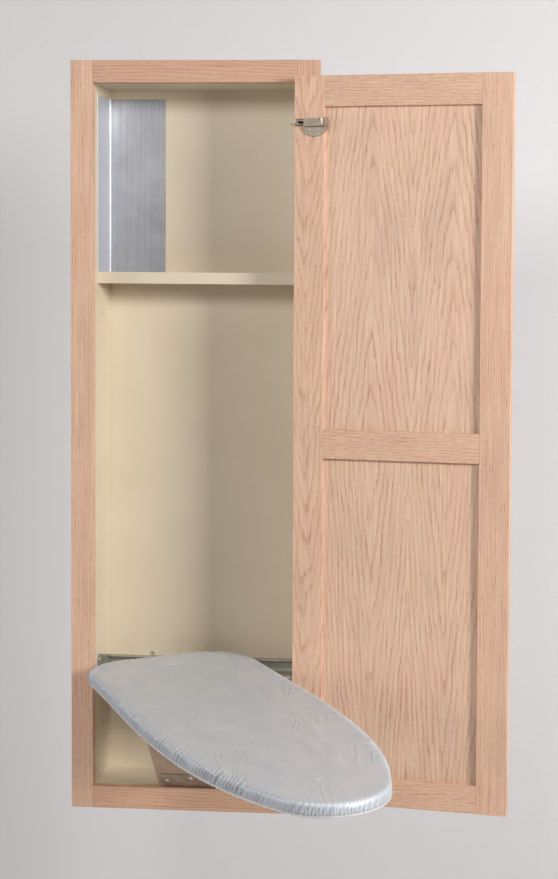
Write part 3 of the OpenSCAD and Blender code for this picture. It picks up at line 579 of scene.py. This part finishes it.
def settle_cloth(places, rows):
    """Lets the cover's cloth find its own slack between the hem and the middle.

    The cloth is cut a little too large, so it buckles into shallow folds; how far each
    point moves is held within limits, evened out and added to the finer cover later.
    """
    flat_rings = [[skin(place, row)[0] for place in places] for row in rows]
    piece = ring_mesh("slack_cloth", flat_rings)
    mesh = piece.data
    rest = [v.co.copy() for v in mesh.vertices]
    pins = piece.vertex_groups.new(name="pins")
    held_below = on_board(Vector((0.0, 0.0, 0.004))).z
    for v in mesh.vertices:
        pins.add([v.index], 1.0 if v.co.z < held_below else 0.03, "REPLACE")
    cloth = piece.modifiers.new("cloth", "CLOTH")
    cloth.settings.quality = 6
    cloth.settings.mass = 0.1
    cloth.settings.tension_stiffness = 20.0
    cloth.settings.compression_stiffness = 20.0
    cloth.settings.shear_stiffness = 8.0
    cloth.settings.bending_stiffness = 0.02
    cloth.settings.shrink_min = -0.018
    cloth.settings.vertex_group_mass = "pins"
    cloth.settings.pin_stiffness = 1.0
    cloth.settings.effector_weights.gravity = 0.0
    cloth.collision_settings.use_collision = False
    cloth.point_cache.frame_end = SETTLING_STEPS
    for number in range(1, SETTLING_STEPS + 1):
        bpy.context.scene.frame_set(number)
    graph = bpy.context.evaluated_depsgraph_get()
    eased = piece.evaluated_get(graph).to_mesh()
    moved = [v.co.copy() for v in eased.vertices]
    piece.evaluated_get(graph).to_mesh_clear()
    bpy.context.scene.frame_set(1)
    tree = kdtree.KDTree(len(rest))
    for k, co in enumerate(rest):
        tree.insert(co, k)
    tree.balance()
    slack = []
    for j, row in enumerate(rows):
        line = []
        for i, place in enumerate(places):
            k = tree.find(on_board(flat_rings[j][i]))[1]
            out = on_board(skin(place, row)[1]) - SWIVEL
            line.append(max(LEAST_SLACK, min(MOST_SLACK, (moved[k] - rest[k]).dot(out))))
        slack.append([sum(line[(i + d) % len(line)] for d in range(-4, 5)) / 9
                      for i in range(len(line))])
    bpy.data.objects.remove(piece)
    return slack


def slack_at(slack, row, share):
    """The cloth's slack in a row at a share of the way round."""
    line = slack[row]
    where = share * len(line)
    k = int(where) % len(line)
    t = where - int(where)
    return line[k] * (1 - t) + line[(k + 1) % len(line)] * t


def puckers(distance, height, inset, nose):
    """Folds that the elastic gathers into the rim: 0 in a crease, 1 on a crest.

    Broad folds lean over the rim, and fine ones about 4 mm apart fill its lower half.
    Where nose is 1 the broad ones are half as deep, and the fine ones deeper.
    """
    along = distance + 0.55 * height - 0.7 * inset
    along += 0.004 * noise.noise(Vector((distance / 0.02, 1.7, 0.4)))
    phase = math.pi * along / BROAD_FOLD + 3.4 * noise.noise(Vector((along / 0.026, 3.7, 0.0)))
    broad = abs(math.sin(phase)) ** 0.9
    depth = 0.78 + 0.8 * noise.noise(Vector((along / 0.018, 9.1, height * 25)))
    depth = min(1.0, max(0.45, depth)) * (1.0 - 0.5 * nose)
    turn = math.pi * distance / FINE_FOLD + 2.0 * noise.noise(Vector((distance / 0.012, 6.2, 0.0)))
    low = min(1.0, max(0.0, (0.016 - height) / 0.010))
    fine = low * (0.55 + 0.45 * nose + 0.6 * noise.noise(Vector((distance / 0.03, 2.2, 4.0))))
    return 1.0 - depth * (1.0 - broad) - 0.45 * max(0.0, fine) * (1.0 - abs(math.sin(turn)))


def make_cover():
    """The silver cotton cover: a sheet drawn over pad and core by elastic in its hem."""
    rows = cover_rows(14)
    around = 2100
    slack = settle_cloth(walk_outline(300)[0], rows)
    places, length = walk_outline(around)
    rings = []
    creases = []
    for j, row in enumerate(rows):
        inset, height, tilt, gather, _ = row
        ring = []
        for i, place in enumerate(places):
            point, out = skin(place, row)
            nose = min(1.0, max(0.0, (NOSE_Y + 0.06 - place[0].y) / 0.08))
            crest = puckers(place[2] % length, height, inset, nose)
            lift = gather * ((FOLD_RISE - LESS_RISE * nose) * crest - FOLD_SINK
                             + LESS_SINK * nose)
            if tilt == 90:
                swell = noise.noise(Vector((point.x * 14, point.y * 8, 2.9)))
                lift += 0.0005 * min(1.0, inset / 0.01) * swell
            if slack:
                lift += slack_at(slack, j, i / around)
            ring.append(point + lift * out)
            # how deep each point lies in a crease, which the cloth's material darkens as painted
            # shade
            creases.append(min(1.0, 1.3 * gather) * (1.0 - crest))
        rings.append(ring)
    cover = ring_mesh("cover_cloth", rings, creases=creases)
    flat_area = sum(face.area for face in cover.data.polygons)
    cover.data.materials.append(silver_cotton())
    cover.data.materials.append(near_white_hem_cloth())
    turn_under = on_board(Vector((0.0, 0.0, 0.0018))).z
    hem = on_board(Vector((0.0, 0.0, -0.0011))).z
    for face in cover.data.polygons:
        if hem < face.center.z < turn_under and abs(face.normal.z) < 0.98:
            face.material_index = 1
    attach(cover, "board")
    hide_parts("board_cover")
    return cover, flat_area


def make_pad():
    """The needled felt pad between core and cover, soft at its edge."""
    places, _ = walk_outline(360)
    # rows as in the cover's section, from the middle of the underside round to the top's
    rows = [(0.003, CORE_T, 90, 0.0, 1.0), (0.003, CORE_T, 90, 0.0, 0.5),
            (0.0032, CORE_T + 0.0001, 90, 0.0, 0.0), (0.0026, CORE_T + 0.0012, 0, 0, 0.0)]
    for k in range(6):
        a = math.radians(18 * k)
        rows.append((0.0030 + 0.0035 * (1 - math.cos(a)), CORE_T + 0.0015
                     + 0.0033 * math.sin(a), 90, 0.0, 0.0))
    rows += [(0.012, CORE_T + PAD_T, 90, 0, 0.0), (0.030, CORE_T + PAD_T + 0.0004, 90, 0, 0.0)]
    rows += [(0.030, CORE_T + PAD_T + 0.0005, 90, 0, k / 6) for k in range(1, 7)]
    rings = [[skin(place, row)[0] for place in places] for row in rows]
    pad = ring_mesh("felt_pad", rings)
    pad.data.materials.append(cotton_felt())
    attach(pad, "board")
    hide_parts("board_pad")
    return pad


def make_elastic():
    """The elastic band in the hem under the board, rippled as it pulls in."""
    places, length = walk_outline(720)
    turns = round(length / 0.0046)
    section = ((0.0196, -0.0003), (0.0196, -0.0017), (0.0210, -0.0021), (0.0228, -0.0021),
               (0.0242, -0.0017), (0.0242, -0.0003))
    rings = []
    for inset, height in section:
        ring = []
        for place in places:
            ripple = 0.0004 * math.sin(2 * math.pi * turns * place[2] / length)
            point = place[0] - (inset + 0.5 * ripple) * place[1]
            ring.append(Vector((point.x, point.y, height + (ripple if height < -0.001 else 0))))
        rings.append(ring)
    band = ring_mesh("hem_band", rings, closed_section=True)
    band.data.materials.append(woven_elastic())
    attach(band, "board")
    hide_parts("hem_elastic")
    return band


# ---- screws, each driven where its solid stands ----

def merged_copy(name, node):
    """A copy of a solid with its loose triangles joined up."""
    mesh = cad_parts[node].data.copy()
    mesh.name = name
    built = bmesh.new()
    built.from_mesh(mesh)
    bmesh.ops.remove_doubles(built, verts=built.verts, dist=0.00001)
    built.to_mesh(mesh)
    built.free()
    return linked(name, mesh)


def islands(node):
    """The corner points of each separate solid in a node."""
    built = bmesh.new()
    built.from_mesh(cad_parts[node].data)
    bmesh.ops.remove_doubles(built, verts=built.verts, dist=0.00001)
    met = set()
    found = []
    # in the vertices' own order, so that each run finds the solids in the same one
    for start in built.verts:
        if start in met:
            continue
        met.add(start)
        front = [start]
        group = []
        while front:
            v = front.pop()
            group.append(v.co.copy())
            for edge in v.link_edges:
                other = edge.other_vert(v)
                if other not in met:
                    met.add(other)
                    front.append(other)
        found.append(group)
    built.free()
    return found


def model_screw():
    """A pan head screw with a cross recess, its head standing on the XY plane."""
    bpy.ops.mesh.primitive_cylinder_add(vertices=24, radius=0.0035, depth=0.0016,
                                        location=(0, 0, 0.0008))
    screw = bpy.context.object
    screw.name = "screw"
    bpy.ops.object.mode_set(mode="EDIT")
    bpy.ops.mesh.select_all(action="DESELECT")
    bpy.ops.object.mode_set(mode="OBJECT")
    for face in screw.data.polygons:
        face.select = face.normal.z > 0.9
    bpy.ops.object.mode_set(mode="EDIT")
    bpy.ops.mesh.select_mode(type="FACE")
    bpy.ops.mesh.bevel(offset=0.0009, segments=4, affect="EDGES")
    bpy.ops.mesh.select_all(action="DESELECT")
    bpy.ops.object.mode_set(mode="OBJECT")
    for face in screw.data.polygons:
        face.select = face.normal.z < -0.9
    bpy.ops.object.mode_set(mode="EDIT")
    bpy.ops.mesh.inset(thickness=0.0020)
    bpy.ops.mesh.extrude_region_move(TRANSFORM_OT_translate={"value": (0, 0, -0.003)})
    bpy.ops.object.mode_set(mode="OBJECT")
    cutters = []
    for turn in (0.0, math.pi / 2):
        bpy.ops.mesh.primitive_cube_add(size=1, location=(0, 0, 0.0014), rotation=(0, 0, turn))
        cutter = bpy.context.object
        cutter.scale = (0.0040, 0.0009, 0.0018)
        bpy.ops.object.transform_apply(location=True, rotation=True, scale=True)
        cutters.append(cutter)
    work_on(screw)
    bpy.ops.object.transform_apply(location=True, rotation=True, scale=True)
    for cutter in cutters:
        cut = screw.modifiers.new("recess", "BOOLEAN")
        cut.object = cutter
        cut.operation = "DIFFERENCE"
        cut.solver = "EXACT"
        bpy.ops.object.modifier_apply(modifier=cut.name)
    for cutter in cutters:
        bpy.data.objects.remove(cutter)
    bpy.ops.object.shade_smooth_by_angle(angle=math.radians(35))
    return screw


def drive_screws(pattern, material, node, body, aim, size=1.0):
    """Puts a screw where each solid of the node is; aim gives the way its head faces."""
    turned = 0.0
    meshes = []
    for group in islands(node):
        centre = sum(group, Vector()) / len(group)
        way = aim(centre).normalized()
        reach = [p.dot(way) for p in group]
        head = [p for p, r in zip(group, reach) if r > max(reach) - 0.0001]
        wide = [p for p in group if (p - centre - (p - centre).dot(way) * way).length > 0.0022]
        foot = min(p.dot(way) for p in wide)
        seat = sum(head, Vector()) / len(head)
        seat += (foot - seat.dot(way)) * way
        turned += 0.7
        copy = pattern.data.copy()
        copy.transform(Matrix.Translation(seat) @ way.to_track_quat("Z", "Y").to_matrix().to_4x4()
                       @ Matrix.Rotation(turned, 4, "Z") @ Matrix.Diagonal((size, size, size, 1)))
        meshes.append(copy)
    joined = bmesh.new()
    for mesh in meshes:
        joined.from_mesh(mesh)
    mesh = bpy.data.meshes.new(node + "_driven")
    joined.to_mesh(mesh)
    joined.free()
    piece = linked(node + "_driven", mesh)
    mesh.materials.append(material)
    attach(piece, body)
    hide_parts(node)


def make_screws():
    """All the screws: bright on the channel and hinges, zinc on the swivel."""
    pattern = model_screw()
    bright = plated_steel("bright nickel screws", "#dcd8cf", "#b5afa4", 0.25)
    zinc = plated_steel("zinc plated screws", "#c9c9c5", "#a5a5a0", 0.32)
    brace = Vector((0.0, -math.cos(BRACE_LEAN), -math.sin(BRACE_LEAN)))
    drive_screws(pattern, bright, "channel_screws", "cabinet",
                 lambda c: Vector((-c.x, 0, 0)) if abs(c.x) > 0.16 else Vector((0, -1, 0)))
    drive_screws(pattern, bright, "foot_hinge_floor_screws", "cabinet",
                 lambda c: Vector((0, 0, 1)), 0.95)
    drive_screws(pattern, bright, "foot_hinge_brace_screws", "brace",
                 lambda c: brace, 0.95)
    drive_screws(pattern, zinc, "swivel_base_screws", "platform",
                 lambda c: Vector((0, 0, 1)))
    drive_screws(pattern, zinc, "swivel_board_screws", "board",
                 lambda c: Vector((0, 0, -1)))
    drive_screws(pattern, bright, "mirror_clip_screws", "door",
                 lambda c: DOOR_OUT, 0.74)
    bpy.data.objects.remove(pattern)


def make_shield():
    """The heat shield: one galvanised sheet folded round a 3 mm bend in the left corner."""
    shield = merged_copy("folded_shield", "heat_shield")
    low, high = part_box("heat_shield")
    work_on(shield)
    bpy.ops.object.mode_set(mode="EDIT")
    bpy.ops.mesh.select_all(action="SELECT")
    bpy.ops.mesh.dissolve_limited(angle_limit=math.radians(1))
    for inset, radius in ((0.0, 0.0034), (0.0008, 0.0026)):
        bpy.ops.mesh.select_mode(type="EDGE")
        bpy.ops.mesh.select_all(action="DESELECT")
        bpy.ops.object.mode_set(mode="OBJECT")
        bend = Vector((low.x + inset, high.y - inset))
        for edge in shield.data.edges:
            ends = [shield.data.vertices[k].co for k in edge.vertices]
            near = all((end.xy - bend).length < 0.0001 for end in ends)
            edge.select = near and abs(ends[0].z - ends[1].z) > 0.01
        bpy.ops.object.mode_set(mode="EDIT")
        bpy.ops.mesh.bevel(offset=radius, segments=8, affect="EDGES")
    bpy.ops.object.mode_set(mode="OBJECT")
    bpy.ops.object.shade_smooth_by_angle(angle=math.radians(30))
    shield.data.materials.clear()
    shield.data.materials.append(galvanised_sheet())
    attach(shield, "cabinet")
    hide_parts("heat_shield")


def make_mirror():
    """The mirror on the door's outer face: silvered behind, ground and arrised at its edges."""
    glass = merged_copy("door_mirror", "mirror_glass")
    work_on(glass)
    arris = glass.modifiers.new("arris", "BEVEL")
    arris.width = 0.0009
    arris.segments = 2
    arris.limit_method = "ANGLE"
    bpy.ops.object.modifier_apply(modifier=arris.name)
    glass.data.materials.clear()
    glass.data.materials.append(ground_glass_edge())
    glass.data.materials.append(silvered_glass())
    for face in glass.data.polygons:
        face.material_index = 1 if face.normal.dot(DOOR_OUT) > 0.99 else 0
    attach(glass, "door")
    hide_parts("mirror_glass")


# ---- room, light and camera ----

def plain_room():
    """A pale floor that sweeps up into a backdrop, and can be seen through from behind."""
    bpy.ops.mesh.primitive_plane_add(size=1, location=(0.3, -2.65, -0.80))
    sweep = bpy.context.object
    sweep.name = "sweep"
    sweep.scale = (18.0, 6.6, 1.0)
    bpy.ops.object.transform_apply(location=True, rotation=True, scale=True)
    far = max(v.co.y for v in sweep.data.vertices)
    bpy.ops.object.mode_set(mode="EDIT")
    bpy.ops.mesh.select_mode(type="EDGE")
    bpy.ops.mesh.select_all(action="DESELECT")
    bpy.ops.object.mode_set(mode="OBJECT")
    for edge in sweep.data.edges:
        ends = [sweep.data.vertices[k].co.y for k in edge.vertices]
        edge.select = min(ends) > far - 0.01
    bpy.ops.object.mode_set(mode="EDIT")
    bpy.ops.mesh.extrude_region_move(TRANSFORM_OT_translate={"value": (0, 0, 5.0)})
    bpy.ops.object.mode_set(mode="OBJECT")
    curve = sweep.modifiers.new("curve", "BEVEL")
    curve.width = 0.35
    curve.segments = 24
    bpy.ops.object.modifier_apply(modifier=curve.name)
    bpy.ops.object.shade_smooth()
    material, tree, _ = new_material("pale backdrop paper", Roughness=0.9,
                                     Base_Color=linear("#dfddde"))
    paper = tree.nodes["Principled BSDF"].outputs[0]
    behind = add(tree, "ShaderNodeNewGeometry").outputs["Backfacing"]
    clear = add(tree, "ShaderNodeBsdfTransparent").outputs[0]
    seen = add(tree, "ShaderNodeMixShader", {0: behind, 1: paper, 2: clear})
    tree.links.new(seen.outputs[0], tree.nodes["Material Output"].inputs["Surface"])
    sweep.data.materials.append(material)


def lamp(name, place, aim, size, power):
    """A soft square light at a place, pointing at another, a trace warmer than white."""
    data = bpy.data.lights.new(name, "AREA")
    data.size = size
    data.energy = power
    data.color = (1.0, 0.99, 0.98)
    light = linked(name, data)
    light.location = place
    light.rotation_euler = (Vector(aim) - Vector(place)).to_track_quat("-Z", "Y").to_euler()


def light_the_room():
    """A soft key from the right, weak fills from the left and the front, a dim room.

    The room itself looks brighter to the camera and in reflections than it lights.
    """
    lamp("key", (2.9, -1.75, 1.5), (0.0, 0.0, 0.6), 0.8, 103.0)
    lamp("fill", (-2.9, -1.15, 0.9), (0.0, 0.0, 0.5), 0.9, 25.0)
    lamp("front", (0.0, -2.5, 1.9), (0.2, 0.0, 0.3), 0.7, 25.0)
    world = bpy.data.worlds.new("room light")
    world.use_nodes = True
    tree = world.node_tree
    rays = add(tree, "ShaderNodeLightPath").outputs
    seen = calc(tree, "MAXIMUM", rays["Is Camera Ray"], rays["Is Glossy Ray"])
    seen = calc(tree, "MAXIMUM", seen, rays["Is Transmission Ray"])
    strength = add(tree, "ShaderNodeMix", {"Factor": seen, 2: 0.06, 3: 0.60})
    glow = tree.nodes["Background"]
    glow.inputs["Color"].default_value = linear("#f4f6fa")
    tree.links.new(strength.outputs[0], glow.inputs["Strength"])
    bpy.context.scene.world = world


def photo_camera():
    """The camera where the photograph's was, with its frame's middle off the lens axis."""
    data = bpy.data.cameras.new("camera")
    camera = linked("camera", data)
    yaw, pitch, roll = -0.0727, -0.0444, 0.0085
    ahead = Vector((math.sin(yaw) * math.cos(pitch), math.cos(yaw) * math.cos(pitch),
                    math.sin(pitch)))
    level = Vector((math.cos(yaw), -math.sin(yaw), 0.0))
    upward = level.cross(ahead)
    right = math.cos(roll) * level + math.sin(roll) * upward
    top = math.cos(roll) * upward - math.sin(roll) * level
    turn = Matrix((right, top, -ahead)).transposed().to_4x4()
    camera.matrix_world = Matrix.Translation((0.5708, -2.5349, 0.8852)) @ turn
    data.sensor_width = SENSOR
    data.lens = FOCAL * SENSOR / PHOTO_HIGH
    data.shift_x = (PHOTO_WIDE / 2 - CENTRE_X) / PHOTO_HIGH
    data.shift_y = (CENTRE_Y - PHOTO_HIGH / 2) / PHOTO_HIGH
    bpy.context.scene.camera = camera


dress_the_frame()
cover, cloth_area = make_cover()
pad = make_pad()
elastic = make_elastic()
make_screws()
make_shield()
make_mirror()
plain_room()
light_the_room()
photo_camera()

scene = bpy.context.scene
scene.view_settings.view_transform = "Standard"
